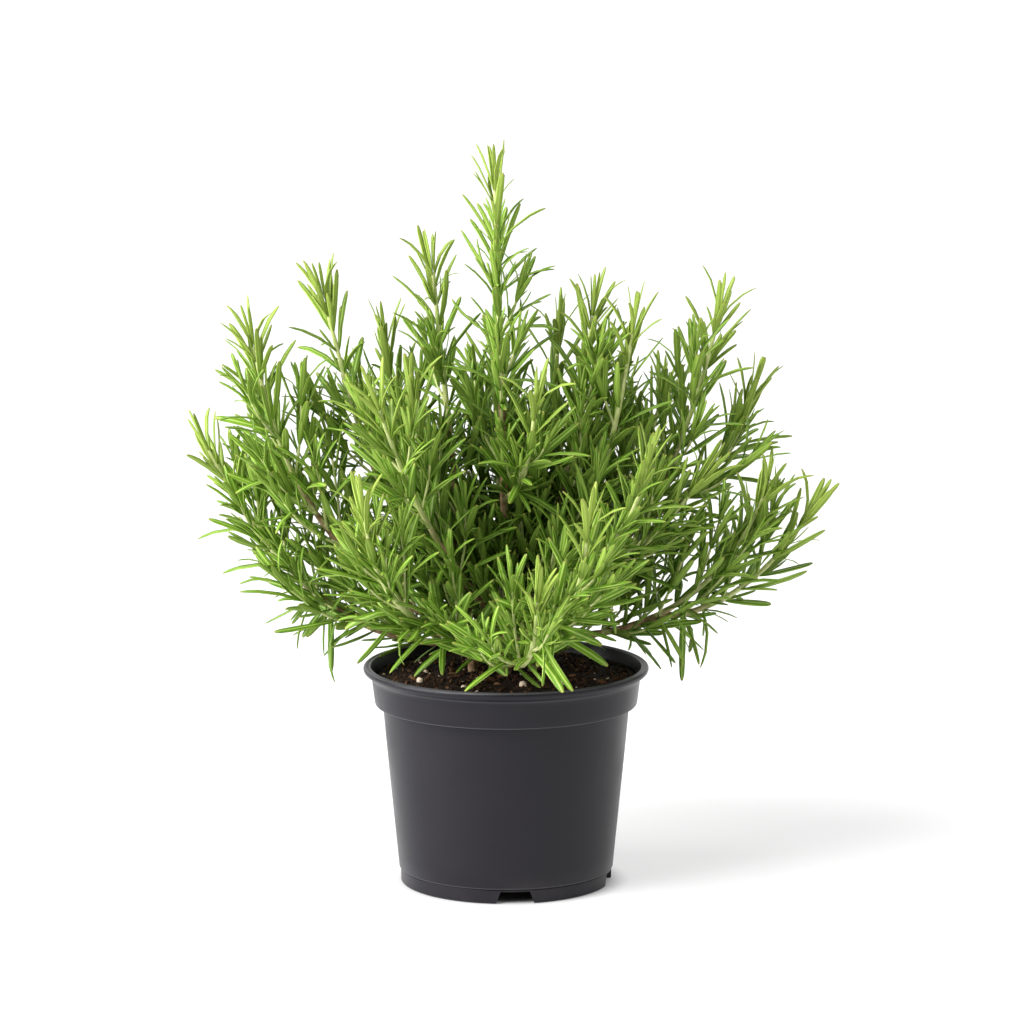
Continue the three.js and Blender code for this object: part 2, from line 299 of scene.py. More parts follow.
def notch_cutter():
    """A block whose cross-section is the notch, wider at its foot."""
    deselect()
    bpy.ops.mesh.primitive_cube_add(size=1, location=(48 * MM, 0, NOTCH_HEIGHT / 2))
    block = bpy.context.object
    block.scale = (10 * MM, NOTCH_TOP, NOTCH_HEIGHT)
    bpy.ops.object.transform_apply(location=True, scale=True)
    bpy.ops.object.mode_set(mode="EDIT")
    pick_points(lambda points: points[:, 2] < NOTCH_HEIGHT / 2)
    bpy.ops.transform.resize(value=(1, NOTCH_FOOT / NOTCH_TOP, 1), center_override=(0, 0, 0))
    bpy.ops.transform.translate(value=(0, 0, -0.3 * MM))
    bpy.ops.object.mode_set(mode="OBJECT")
    return block


def drain_cutter():
    deselect()
    place = (DRAIN_CIRCLE, 0, 6.6 * MM)
    bpy.ops.mesh.primitive_cylinder_add(
        vertices=32, radius=DRAIN_RADIUS, depth=4 * MM, location=place
    )
    bpy.ops.object.transform_apply(location=True)
    return bpy.context.object


cutters = []
for angle in NOTCH_ANGLES:
    for make in (notch_cutter, drain_cutter):
        cutter = make()
        cutter.rotation_euler.z = radians(angle)
        cutters.append(cutter)
deselect()
for cutter in cutters:
    cutter.select_set(True)
bpy.context.view_layer.objects.active = cutters[0]
bpy.ops.object.join()
cutter = bpy.context.object
bpy.ops.object.transform_apply(location=True, rotation=True, scale=True)
cut = pot.modifiers.new("notches", "BOOLEAN")
cut.object = cutter
cut.operation = "DIFFERENCE"
cut.solver = "EXACT"
apply_modifiers(pot)
bpy.data.objects.remove(cutter)
settle(pot, "pot", smooth_below=32)
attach(pot, "root")
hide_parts("nursery_pot")
print("pot faces after cutting:", len(pot.data.polygons))

# %% [markdown]
# ## Shader building blocks
#
# Each finish is a Principled shader fed by small node networks. Effects that several materials
# share are node groups, built once: a fine grain that breaks up colour and gives a little
# relief, used on the plastic, the compost and the wood.

# %% Node helpers


def new_material(name):
    """A material with nodes: the material, its node tree and its Principled shader."""
    material = bpy.data.materials.new(name)
    material.use_nodes = True
    tree = material.node_tree
    return material, tree, tree.nodes["Principled BSDF"]


def add_node(tree, kind, at=(0, 0), **values):
    """Adds a node. Values are set on its sockets by name, or on the node itself."""
    node = tree.nodes.new(kind)
    node.location = at
    for key, value in values.items():
        label = key.replace("_", " ")
        if label in node.inputs:
            node.inputs[label].default_value = value
        else:
            setattr(node, key, value)
    return node


def read_attribute(tree, name, at=(-900, 0)):
    node = add_node(tree, "ShaderNodeAttribute", at)
    node.attribute_name = name
    return node.outputs["Fac"]


def calculate(tree, operation, first, second=0.0):
    """A Math node of two sockets or numbers."""
    node = add_node(tree, "ShaderNodeMath", operation=operation)
    for socket, value in zip(node.inputs, (first, second)):
        if isinstance(value, (int, float)):
            socket.default_value = value
        else:
            tree.links.new(value, socket)
    return node.outputs[0]


def rescale(tree, value, low, high, to_low=0.0, to_high=1.0, at=(0, 0)):
    """Maps a range of a value onto another, held within it, with a soft start and end."""
    node = add_node(tree, "ShaderNodeMapRange", at, interpolation_type="SMOOTHSTEP")
    tree.links.new(value, node.inputs["Value"])
    ends = {"From Min": low, "From Max": high, "To Min": to_low, "To Max": to_high}
    for label, number in ends.items():
        node.inputs[label].default_value = number
    return node.outputs["Result"]


def mix_colors(tree, share, first, second, at=(0, 0)):
    """Mixes two colours, each a socket or three numbers, by a share that is a socket or number."""
    node = add_node(tree, "ShaderNodeMix", at, data_type="RGBA")
    sockets = (node.inputs["Factor"], node.inputs[6], node.inputs[7])
    for socket, value in zip(sockets, (share, first, second)):
        if isinstance(value, bpy.types.NodeSocket):
            tree.links.new(value, socket)
        elif isinstance(value, tuple):
            socket.default_value = (*value, 1)
        else:
            socket.default_value = value
    return node.outputs[2]


def new_group(name, inputs, outputs):
    """A node group with named number or colour inputs and outputs."""
    group = bpy.data.node_groups.new(name, "ShaderNodeTree")
    for label, kind, value in inputs:
        socket = group.interface.new_socket(label, in_out="INPUT", socket_type="NodeSocket" + kind)
        socket.default_value = value
    for label, kind in outputs:
        group.interface.new_socket(label, in_out="OUTPUT", socket_type="NodeSocket" + kind)
    start = add_node(group, "NodeGroupInput", (-1200, 0))
    end = add_node(group, "NodeGroupOutput", (900, 0))
    return group, start, end


def place_group(tree, group, at=(-500, 0), **values):
    node = add_node(tree, "ShaderNodeGroup", at)
    node.node_tree = group
    for key, value in values.items():
        node.inputs[key.replace("_", " ")].default_value = value
    return node


def add_bump(tree, shader, height, strength, distance):
    bump = add_node(tree, "ShaderNodeBump", (300, -400), Strength=strength, Distance=distance)
    tree.links.new(height, bump.inputs["Height"])
    tree.links.new(bump.outputs["Normal"], shader.inputs["Normal"])


print("node helpers ready")

# %% A grain shared by the plastic, the compost and the wood
fine_grain, start, end = new_group(
    "fine grain",
    [("Size", "Float", 400.0), ("Patch Size", "Float", 40.0), ("Seed", "Float", 0.0)],
    [("Grain", "Float"), ("Patches", "Float")],
)
place = add_node(fine_grain, "ShaderNodeTexCoord", (-1200, -300)).outputs["Object"]
for label, size, row in (("Grain", "Size", 200), ("Patches", "Patch Size", -200)):
    noise = add_node(
        fine_grain, "ShaderNodeTexNoise", (-400, row),
        noise_dimensions="4D", Detail=3.0, Roughness=0.6,
    )
    fine_grain.links.new(place, noise.inputs["Vector"])
    fine_grain.links.new(start.outputs[size], noise.inputs["Scale"])
    fine_grain.links.new(start.outputs["Seed"], noise.inputs["W"])
    fine_grain.links.new(noise.outputs["Fac"], end.inputs[label])
print("group:", fine_grain.name)

# %% [markdown]
# ## Pot plastic
#
# Recycled polypropylene is a blue-tinged charcoal with a silky moulded surface: rough enough to
# spread the lamp into a wide pale band, smooth enough to show it. A faint dust of compost clings
# round the foot, and thin lighter lines are painted along the moulded edges as highlights.

# %% Pot material
plastic, tree, shader = new_material("pot plastic")
shader.inputs["IOR"].default_value = 1.49
shader.inputs["Specular IOR Level"].default_value = 0.26
grain = place_group(tree, fine_grain, (-900, 0), Size=2600.0, Patch_Size=34.0, Seed=3.0)
height = add_node(tree, "ShaderNodeSeparateXYZ", (-900, -300))
place = add_node(tree, "ShaderNodeTexCoord", (-1100, -300)).outputs["Object"]
tree.links.new(place, height.inputs[0])
foot_dust = rescale(tree, height.outputs["Z"], 0.016, 0.0, at=(-700, -300))
patches = grain.outputs["Patches"]
dust = calculate(tree, "MULTIPLY", foot_dust, rescale(tree, patches, 0.42, 0.7, at=(-700, -100)))
dust = calculate(tree, "MULTIPLY", dust, 0.2)
DARK_PLASTIC, PALE_PLASTIC = (0.0075, 0.0063, 0.0098), (0.0095, 0.0081, 0.0120)
base = mix_colors(tree, patches, DARK_PLASTIC, PALE_PLASTIC, (-300, 100))
color = mix_colors(tree, dust, base, (0.12, 0.10, 0.085), (-100, 100))
# Each painted highlight line's height and half width in millimetres, and its strength: a lighter
# band painted along a moulded edge where the gloss would catch the lamp.
PAINTED_HIGHLIGHT_LINES = ((6.95, 0.35, 0.5), (82.75, 0.45, 0.75), (95.3, 0.5, 0.35), (99.75, 0.5, 0.8))
for line, (middle, half, share) in enumerate(PAINTED_HIGHLIGHT_LINES):
    off_line = calculate(tree, "SUBTRACT", height.outputs["Z"], middle * MM)
    off_line = calculate(tree, "ABSOLUTE", off_line)
    mask = rescale(tree, off_line, half * MM, 0.0, 0.0, share)
    color = mix_colors(tree, mask, color, (0.085, 0.083, 0.092), (line * 150, 300))
tree.links.new(color, shader.inputs["Base Color"])
rough = rescale(tree, grain.outputs["Patches"], 0.3, 0.7, 0.31, 0.40, at=(-300, -200))
tree.links.new(rough, shader.inputs["Roughness"])
add_bump(tree, shader, grain.outputs["Grain"], 0.12, 0.1 * MM)
pot.data.materials.append(plastic)
print("pot plastic done")

# %% [markdown]
# ## The compost
#
# Potting compost is peat, bark and perlite. Its body is a plug that fills the pot; the top is a
# low mound, roughened by a displacement. Loose crumbs, bark chips and perlite grains are then
# strewn on it. Each of those is modelled once and its copies are strewn with random turns and
# sizes, so that a few dozen faces make a thousand crumbs.

# %% Compost body
SOIL_SIDES = 120
SOIL_RADIUS = 59.6 * MM
SOIL_EDGE = 94.2 * MM
SOIL_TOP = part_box("compost")[1].z
soil_side = [(3.0, 7.4), (46.5, 7.4), (54.6, 83.6), (58.2, 84.4)]
soil_side = [(radius * MM, height * MM) for radius, height in soil_side]
rings = [
    (SOIL_RADIUS * share, SOIL_EDGE + (SOIL_TOP - SOIL_EDGE) * (1 - share**2))
    for share in np.linspace(1, 0.02, 56)
]
soil = turn_on_a_lathe(soil_side + rings, SOIL_SIDES)
top = soil.vertex_groups.new(name="top")
soil_points = points_of(soil.data)
top_points = np.nonzero((soil_points[:, 2] > SOIL_EDGE - 0.1 * MM))[0]
top.add(top_points.tolist(), 1.0, "REPLACE")
for lump, depth in ((9 * MM, 2.4 * MM), (2.6 * MM, 1.5 * MM)):
    clouds = bpy.data.textures.new("lumps", "CLOUDS")
    clouds.noise_scale = lump
    clouds.noise_depth = 2
    rough_up = soil.modifiers.new("lumps", "DISPLACE")
    rough_up.texture = clouds
    rough_up.strength = depth
    rough_up.direction = "Z"
    rough_up.vertex_group = "top"
apply_modifiers(soil)
settle(soil, "compost_body", smooth_below=60)
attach(soil, "root")
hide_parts("compost")
print("compost faces:", len(soil.data.polygons))

# %% Copies of one small model in one mesh


def mesh_of(points, faces, name):
    """A mesh object from an array of points and lists of equal-length faces."""
    mesh = bpy.data.meshes.new(name)
    lengths = [faces_of_one_length.shape[1] for faces_of_one_length in faces]
    loops = np.concatenate([group.ravel() for group in faces])
    counts = np.concatenate([np.full(len(group), n) for group, n in zip(faces, lengths)])
    starts = np.concatenate([[0], np.cumsum(counts)[:-1]])
    mesh.vertices.add(len(points))
    mesh.vertices.foreach_set("co", points.ravel())
    mesh.loops.add(len(loops))
    mesh.loops.foreach_set("vertex_index", loops.astype(np.int32))
    mesh.polygons.add(len(counts))
    mesh.polygons.foreach_set("loop_start", starts.astype(np.int32))
    mesh.update(calc_edges=True)
    piece = bpy.data.objects.new(name, mesh)
    bpy.context.collection.objects.link(piece)
    return piece


def faces_of(mesh):
    """A mesh's faces as arrays, one for each number of corners."""
    by_length = {}
    for face in mesh.polygons:
        by_length.setdefault(len(face.vertices), []).append(list(face.vertices))
    return [np.array(group) for group in by_length.values()]


def repeat_faces(faces, count, points_each):
    steps = np.arange(count) * points_each
    return [(group[None] + steps[:, None, None]).reshape(-1, group.shape[1]) for group in faces]


def random_turns(rng, count):
    """Rotation matrices that turn every way equally often."""
    four = rng.normal(size=(count, 4))
    w, x, y, z = (four / np.linalg.norm(four, axis=1, keepdims=True)).T
    rows = [
        [1 - 2 * (y * y + z * z), 2 * (x * y - w * z), 2 * (x * z + w * y)],
        [2 * (x * y + w * z), 1 - 2 * (x * x + z * z), 2 * (y * z - w * x)],
        [2 * (x * z - w * y), 2 * (y * z + w * x), 1 - 2 * (x * x + y * y)],
    ]
    return np.array(rows).transpose(2, 0, 1)


def strew(name, template, places, turns, sizes, tints):
    """Copies of a template at places, turned and scaled, each with a tint of its own."""
    points = points_of(template.data)
    scaled = points[None] * sizes[:, None, :]
    moved = np.einsum("nij,nkj->nki", turns, scaled) + places[:, None, :]
    faces = repeat_faces(faces_of(template.data), len(places), len(points))
    piece = mesh_of(moved.reshape(-1, 3), faces, name)
    tint = piece.data.attributes.new("tint", "FLOAT", "POINT")
    tint.data.foreach_set("value", np.repeat(tints, len(points)).astype(np.float32))
    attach(piece, "root")
    return piece


def lump(subdivisions, unevenness, seed):
    """A small uneven stone of radius 1."""
    deselect()
    bpy.ops.mesh.primitive_ico_sphere_add(subdivisions=subdivisions, radius=1)
    bpy.ops.object.mode_set(mode="EDIT")
    bpy.ops.mesh.select_all(action="SELECT")
    bpy.ops.transform.vertex_random(offset=unevenness, uniform=0.3, normal=0.6, seed=seed)
    bpy.ops.object.mode_set(mode="OBJECT")
    return bpy.context.object


def soil_height(places):
    """Height of the compost under each place, from its nearest point."""
    tree = kdtree.KDTree(len(top_points))
    final = points_of(soil.data)[top_points]
    for index, (x, y, _) in enumerate(final):
        tree.insert((x, y, 0), index)
    tree.balance()
    return np.array([final[tree.find((x, y, 0))[1]][2] for x, y in places])


def strewn_places(rng, count, radius):
    """Places spread evenly over the compost."""
    angle = rng.uniform(0, 2 * pi, count)
    reach = radius * np.sqrt(rng.uniform(0, 1, count))
    flat = np.stack([reach * np.cos(angle), reach * np.sin(angle)], 1)
    return np.column_stack([flat, soil_height(flat)])


print("strewing ready")

# %% Crumbs, bark chips and perlite
CRUMBS, CHIPS, GRAINS, FINES = 1500, 150, 6, 60
rng = np.random.default_rng(11)
crumb = lump(1, 0.35, seed=4)
places = strewn_places(rng, CRUMBS, 57.5 * MM)
size = rng.uniform(0.4, 1.35, (CRUMBS, 1)) ** 1.5 * MM
size = size * rng.uniform(0.7, 1.2, (CRUMBS, 3))
turns = random_turns(rng, CRUMBS)
crumbs = strew("compost_crumbs", crumb, places, turns, size, rng.uniform(0, 1, CRUMBS))

chip = lump(2, 0.25, seed=9)
places = strewn_places(rng, CHIPS, 57 * MM)
chip_sides = ((1.2, 3.2), (0.5, 1.3), (0.3, 0.7))  # millimetres: length, width, thickness
size = np.column_stack([rng.uniform(low, high, CHIPS) for low, high in chip_sides]) * MM
turns = random_turns(rng, CHIPS)
chips = strew("bark_chips", chip, places, turns, size, rng.uniform(0, 1, CHIPS))

pebble = lump(3, 0.16, seed=2)
for number in range(1, GRAINS + 1):
    low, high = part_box(f"perlite_grain_{number}")
    middle = np.array((low + high) / 2)
    middle[2] = soil_height([middle[:2]])[0] + (high.z - low.z) * 0.28
    size = np.array(high - low) * 0.55
    turn, tint = random_turns(rng, 1), np.array([number / (GRAINS + 1)])
    grain_piece = strew(f"perlite_{number}", pebble, middle[None], turn, size[None], tint)
    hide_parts(f"perlite_grain_{number}")
speck = lump(2, 0.2, seed=6)
places = strewn_places(rng, FINES, 57 * MM)
size = rng.uniform(0.35, 1.0, (FINES, 1)) * rng.uniform(0.8, 1.2, (FINES, 3)) * MM
turns = random_turns(rng, FINES)
specks = strew("perlite_fines", speck, places, turns, size, rng.uniform(0, 1, FINES))
for used in (crumb, chip, pebble, speck):
    bpy.data.objects.remove(used)
print("strewn:", CRUMBS, "crumbs,", CHIPS, "chips,", GRAINS + FINES, "perlite grains")

# %% Compost and perlite materials


def earth(name, dark, light, tint_share):
    """A matt, uneven material whose copies differ by their own tint."""
    material, tree, shader = new_material(name)
    shader.inputs["Specular IOR Level"].default_value = 0.2
    grain = place_group(tree, fine_grain, (-900, 0), Size=1500.0, Patch_Size=190.0, Seed=7.0)
    tint = calculate(tree, "MULTIPLY", read_attribute(tree, "tint"), tint_share)
    mottle = rescale(tree, grain.outputs["Patches"], 0.35, 0.7)
    mottle = calculate(tree, "MULTIPLY", mottle, 1 - tint_share)
    color = mix_colors(tree, calculate(tree, "ADD", tint, mottle), dark, light)
    tree.links.new(color, shader.inputs["Base Color"])
    rough = rescale(tree, grain.outputs["Grain"], 0.3, 0.7, 0.8, 1.0)
    tree.links.new(rough, shader.inputs["Roughness"])
    add_bump(tree, shader, grain.outputs["Grain"], 0.6, 0.5 * MM)
    return material


peat = earth("compost", (0.006, 0.0032, 0.0020), (0.060, 0.028, 0.012), 0.6)
bark = earth("bark chip", (0.040, 0.016, 0.007), (0.22, 0.11, 0.05), 0.6)
perlite = earth("perlite", (0.66, 0.48, 0.32), (0.88, 0.80, 0.66), 0.4)
for piece, material in ((soil, peat), (crumbs, peat), (chips, bark), (specks, perlite)):
    piece.data.materials.append(material)
for number in range(1, GRAINS + 1):
    bpy.data.objects[f"perlite_{number}"].data.materials.append(perlite)
print("earth materials done")

# %% [markdown]
# ## Where the stems run
#
# The CAD model has one faceted bar for each stem. Its points lie in small rings, and the middle
# of each ring is a point on the stem's centre line. A smooth curve through those middles is the
# line that the wood and the leaves are grown along, so the finished plant follows the frame.

# %% Centre lines from the CAD stems
RING_REACH = 4.3 * MM  # points of one ring are nearer than this to a neighbour


def ring_middles(node):
    """The middle and the radius of each ring of a CAD stem, from its tip to its foot."""
    points = np.unique(np.round(points_of(node.data), 6), axis=0)
    apart = np.linalg.norm(points[:, None] - points[None], axis=2)
    joined = apart < RING_REACH
    for _ in range(6):
        joined = (joined.astype(int) @ joined.astype(int)) > 0
    rings = [points[row] for row in np.unique(joined, axis=0)]
    middles = np.array([ring.mean(0) for ring in rings])
    radii = np.array([np.linalg.norm(ring - ring.mean(0), axis=1).mean() for ring in rings])
    order = [int(np.argmax(middles[:, 2]))]
    while len(order) < len(rings):
        left = [i for i in range(len(rings)) if i not in order]
        order.append(min(left, key=lambda i: np.linalg.norm(middles[i] - middles[order[-1]])))
    return middles[order], radii[order]


def smooth_line(points, step):
    """A smooth curve through points (Catmull-Rom), as evenly spaced places."""
    ends = np.vstack([2 * points[0] - points[1], points, 2 * points[-1] - points[-2]])
    t = np.linspace(0, 1, 24, endpoint=False)[:, None]
    stretches = []
    for a, b, c, d in zip(ends, ends[1:], ends[2:], ends[3:]):
        bend = 2 * a - 5 * b + 4 * c - d
        turn = 3 * b - a - 3 * c + d
        stretches.append(0.5 * (2 * b + (c - a) * t + bend * t**2 + turn * t**3))
    dense = np.vstack([*stretches, points[-1:]])
    run = np.concatenate([[0], np.cumsum(np.linalg.norm(np.diff(dense, axis=0), axis=1))])
    at = np.linspace(0, run[-1], max(4, int(run[-1] / step)))
    return np.stack([np.interp(at, run, dense[:, i]) for i in range(3)], 1)


def shoot_along(points, radius, tip_radius, name=""):
    """A shoot: places from foot to tip, the directions there, and a side that doesn't twist."""
    line = smooth_line(points, 1.0 * MM)
    along = np.gradient(line, axis=0)
    along /= np.linalg.norm(along, axis=1, keepdims=True)
    side = np.zeros_like(line)
    first = np.cross(along[0], [0.31, 0.95, 0.05])
    side[0] = first / np.linalg.norm(first)
    for i in range(1, len(line)):
        side[i] = side[i - 1] - along[i] * (side[i - 1] @ along[i])
        side[i] /= np.linalg.norm(side[i])
    length = np.linalg.norm(np.diff(line, axis=0), axis=1).sum()
    return SimpleNamespace(
        line=line, along=along, side=side, length=length,
        radius=radius, tip_radius=tip_radius, name=name,
    )


def place_on(shoot, from_tip):
    """Place, direction and side at a distance from a shoot's tip."""
    share = np.clip(1 - from_tip / shoot.length, 0, 1) * (len(shoot.line) - 1)
    index = int(round(share))
    return shoot.line[index], shoot.along[index], shoot.side[index]


shoots = []
for node_name in sorted(name for name in frame["nodes"] if name.startswith("stem_")):
    middles, radii = ring_middles(frame["nodes"][node_name])
    last_step = middles[-1] - middles[-2]
    foot = middles[-1] + 0.4 * last_step * (3 * MM / np.linalg.norm(last_step))
    points = np.vstack([foot, middles[::-1][1:]]) if len(middles) > 3 else middles[::-1]
    shoots.append(shoot_along(points, radii[-2], 0.85 * MM, node_name.removeprefix("stem_")))
for shoot in shoots:
    print(f"{shoot.name:18s} {shoot.length / MM:6.1f} mm, radius {shoot.radius / MM:.2f} mm")

# %% [markdown]
# ## One leaf
#
# A rosemary leaf is a blunt needle about 25 mm long and 3 mm wide. Its margins roll under, a
# groove runs down the middle of the upper side and a rib down the middle of the lower one. It is
# modelled once, at a half-width and a length of 1: an eight-sided ring is shaped into the leaf's
# section and extruded from base to tip.

# %% Model the leaf
LEAF_RINGS = [(0.03, 0.42), (0.14, 0.74), (0.4, 1.0), (0.72, 1.0), (0.9, 0.78), (0.98, 0.42)]


def model_leaf():
    """Along +Y from 0 to 1, its upper side towards +Z."""
    deselect()
    bpy.ops.mesh.primitive_circle_add(vertices=8, radius=1, rotation=(pi / 2, 0, 0))
    bpy.ops.object.transform_apply(rotation=True)
    bpy.ops.object.mode_set(mode="EDIT")
    bpy.ops.mesh.select_all(action="SELECT")
    bpy.ops.transform.resize(value=(1, 1, 0.30), center_override=(0, 0, 0))
    pick_points(lambda points: points[:, 2] > 0.25)
    bpy.ops.transform.translate(value=(0, 0, -0.24))
    pick_points(lambda points: np.abs(points[:, 0]) > 0.9)
    bpy.ops.transform.translate(value=(0, 0, -0.14))
    pick_points(lambda points: (np.abs(points[:, 0]) < 0.9) & (points[:, 2] < -0.1))
    bpy.ops.transform.translate(value=(0, 0, -0.06))
    bpy.ops.mesh.select_all(action="SELECT")
    reach, width = LEAF_RINGS[0]
    bpy.ops.transform.resize(value=(width, 1, width), center_override=(0, 0, 0))
    bpy.ops.transform.translate(value=(0, reach, 0))
    for (reach, width), (next_reach, next_width) in zip(LEAF_RINGS, LEAF_RINGS[1:]):
        step = (0, next_reach - reach, 0)
        bpy.ops.mesh.extrude_edges_move(TRANSFORM_OT_translate={"value": step})
        grow = next_width / width
        bpy.ops.transform.resize(value=(grow, 1, grow), center_override=(0, next_reach, 0))
    for end_reach, ring_reach in ((1.0, LEAF_RINGS[-1][0]), (0.0, LEAF_RINGS[0][0])):
        pick_points(lambda points: np.abs(points[:, 1] - ring_reach) < 1e-4)
        bpy.ops.mesh.extrude_edges_move(
            TRANSFORM_OT_translate={"value": (0, end_reach - ring_reach, 0)}
        )
        bpy.ops.mesh.merge(type="CENTER")
    bpy.ops.mesh.select_all(action="SELECT")
    bpy.ops.mesh.normals_make_consistent(inside=False)
    bpy.ops.object.mode_set(mode="OBJECT")
    return bpy.context.object


leaf = model_leaf()
leaf_points = points_of(leaf.data)
leaf_faces = faces_of(leaf.data)
leaf_across, leaf_along, leaf_up = leaf_points.T
print("leaf:", len(leaf_points), "points,", sum(len(group) for group in leaf_faces), "faces")

# %% [markdown]
# ## Where the leaves grow
#
# Rosemary leaves stand in pairs, each pair turned a quarter round from the last. Near a shoot's
# tip the pairs are close together and point almost straight ahead, with the outer ones arching
# away; further down they are about a centimetre apart and open to right angles. In the crook of
# each leaf sits a tuft of small leaves, and some of these tufts have grown into side shoots.
#
# Growing is a loop over a shoot's leaf pairs that writes one row of numbers per leaf.

# %% Grow the leaves
rng = np.random.default_rng(11)
leaf_rows = {shoot.name: [] for shoot in shoots}
twigs = {shoot.name: [shoot] for shoot in shoots}
PAIRS = [0, 1, 2, 3, 4, 6, 9, 13]  # leaf pairs counted from the tip, for these curves:
SPREAD = [3, 6, 9, 14, 20, 33, 46, 58]  # degrees from the shoot
LENGTH = [19, 22, 26, 27, 28.5, 30, 30, 28]  # millimetres
WIDTH = [1.7, 1.9, 2.1, 2.8, 3.0, 3.3, 3.5, 3.5]  # millimetres
CURL = [0.1, 0.3, 1.0, 0.35, 0.3, 0.25, 0.2, 0.25]  # radians, outwards
SPACING = [0.8, 2.0, 5.0, 8.5, 9.5, 10.0, 10.0, 10.0]  # millimetres to the next pair
HANGING_BELOW = 0.13  # metres: outside the pot, old leaves below this height may hang,
HANGING_SHARE = 0.35  # and this share of them does
TWIG_HEIGHTS = [0.098, 0.104, 0.140, 0.180, 0.220]  # metres: a side shoot may not end outside
TWIG_REACHES = [0.0, 0.096, 0.112, 0.124, 0.134]  # these distances from the pot's axis
TWIG_FROM_TIP = 33 * MM  # nearer to the tip, no tuft has grown out yet


def unit(vector):
    return vector / np.linalg.norm(vector)


def add_leaf(rows, foot, along, out, spread, length, width, curl, age, lift=0.0):
    """One leaf: it leaves the shoot at an angle `spread` (degrees) and bends away by `curl`."""
    direction = unit(cos(radians(spread)) * along + sin(radians(spread)) * out + lift * UP)
    face = cos(radians(spread)) * -out + sin(radians(spread)) * along
    face = face + 0.35 * sin(radians(spread)) * UP
    face = unit(face - direction * (face @ direction))
    twist = rng.normal(0, 0.25)
    tint = rng.uniform(0, 1)
    rows.append((*foot, *direction, *face, length, width / 2, curl, twist, age, tint))


def grow(rows, shoot, bare, vigour, ripe, main=True):
    """Puts leaf pairs along a shoot, from its tip down to its bare foot."""
    turn = rng.uniform(0, 2 * pi)
    distance, pair = 0.0, 0
    while distance < shoot.length - bare:
        share = min(1.0, distance / (95 * MM))
        foot, along, side = place_on(shoot, distance)
        other = np.cross(along, side)
        radius = shoot.tip_radius + (shoot.radius - shoot.tip_radius) * distance / shoot.length
        age = np.clip(0.04 * pair + 0.6 * share + ripe, 0, 1)
        size = vigour if main else vigour * min(1.0, 0.75 + 0.05 * pair)
        for half in (0, pi):
            angle = turn + half + rng.normal(0, 0.16)
            out = cos(angle) * side + sin(angle) * other
            spread = np.interp(pair, PAIRS, SPREAD) + 10 * share + rng.normal(0, 5)
            length = np.interp(pair, PAIRS, LENGTH) * MM * size * rng.uniform(0.88, 1.12)
            width = np.interp(pair, PAIRS, WIDTH) * MM * (0.5 + 0.5 * size)
            width *= rng.uniform(0.88, 1.12) * (1 + 1.5 * ripe * main)
            curl = np.interp(pair, PAIRS, CURL) * rng.uniform(0.8, 1.2)
            curl += rng.normal(0, 0.04 + 0.05 * min(pair, 7))
            lift = 0.05 + rng.normal(0, 0.05) - 0.1 * share * main
            overhangs = foot[2] < HANGING_BELOW and np.hypot(foot[0], foot[1]) > POT_RADIUS
            if overhangs and rng.uniform() < HANGING_SHARE:
                lift = -1.5
            base = foot + out * radius * 0.6
            add_leaf(rows, base, along, out, spread, length, width, curl, age, lift)
            if pair >= 3:
                grow_tuft(rows, shoot, foot, along, out, radius, distance, size, age, main)
        turn += pi / 2 + rng.normal(0, 0.08)
        gap = np.interp(pair, PAIRS, SPACING) * MM * (0.45 + 0.55 * vigour)
        distance += gap * rng.uniform(0.88, 1.12)
        pair += 1


def grow_tuft(rows, shoot, foot, along, out, radius, distance, size, age, main):
    """The small leaves in the crook of a leaf, or a side shoot where the tuft has grown out."""
    reach = np.interp(distance, [20 * MM, 110 * MM], [0, 1])
    chance = np.interp(foot[2], [0.15, 0.21], [0.58, 0.38])
    if main and distance > TWIG_FROM_TIP and rng.uniform() < chance:
        span = rng.uniform(20, 62) * MM * (0.5 + 0.5 * reach)
        heading = unit(along * 0.8 + out * 0.6 + 0.3 * UP)
        rise = unit(heading + 0.45 * UP + 0.2 * along)
        middle = foot + heading * span * 0.5
        bend = np.array([foot, middle, middle + rise * span * 0.5])
        twig = shoot_along(bend, 0.7 * MM, 0.5 * MM)
        end = twig.line[-1]
        room = np.interp(end[2], TWIG_HEIGHTS, TWIG_REACHES)
        if end[2] > foot[2] + 0.25 * span and np.hypot(end[0], end[1]) < room:
            twigs[shoot.name].append(twig)
            grow(rows, twig, 2.0 * MM, rng.uniform(0.88, 1.08), age * 0.72, main=False)
            return
    sideways = np.cross(along, out)
    for _ in range(rng.integers(1, 4) if main else rng.integers(0, 3)):
        lean = unit(out + sideways * rng.normal(0, 0.5))
        length = rng.uniform(12, 22) * MM * size
        add_leaf(
            rows, foot + out * radius * 0.7, along, lean, rng.uniform(10, 38) + 12 * reach, length,
            length * rng.uniform(0.10, 0.13), rng.normal(0.15, 0.45), age * 0.75, 0.05,
        )


def hang_leaf(shoot, reach):
    """An old leaf that hangs straight down where a low branch leaves the pot."""
    beyond = np.hypot(shoot.line[:, 0], shoot.line[:, 1]) > reach
    index = int(np.argmax(beyond))
    forwards = np.array([0.0, -1.0, 0.0])
    add_leaf(
        leaf_rows[shoot.name], shoot.line[index], forwards, -UP, 80, 32 * MM, 2.9 * MM,
        0.25, 0.9, lift=-3.0,
    )


ROOTED = ("centre", "left", "right", "back")
for shoot in shoots:
    low = np.clip((0.2 - shoot.line[-1][2]) / 0.1, 0, 1)
    bare = (32 if shoot.name in ROOTED else 9) * MM
    grow(leaf_rows[shoot.name], shoot, bare, 1.0, 0.16 * low)
    if shoot.name in ("left_low", "right_low", "right_outer"):
        hang_leaf(shoot, 80 * MM)
count = sum(len(rows) for rows in leaf_rows.values())
print("leaves:", count, "twigs:", sum(len(group) - 1 for group in twigs.values()))
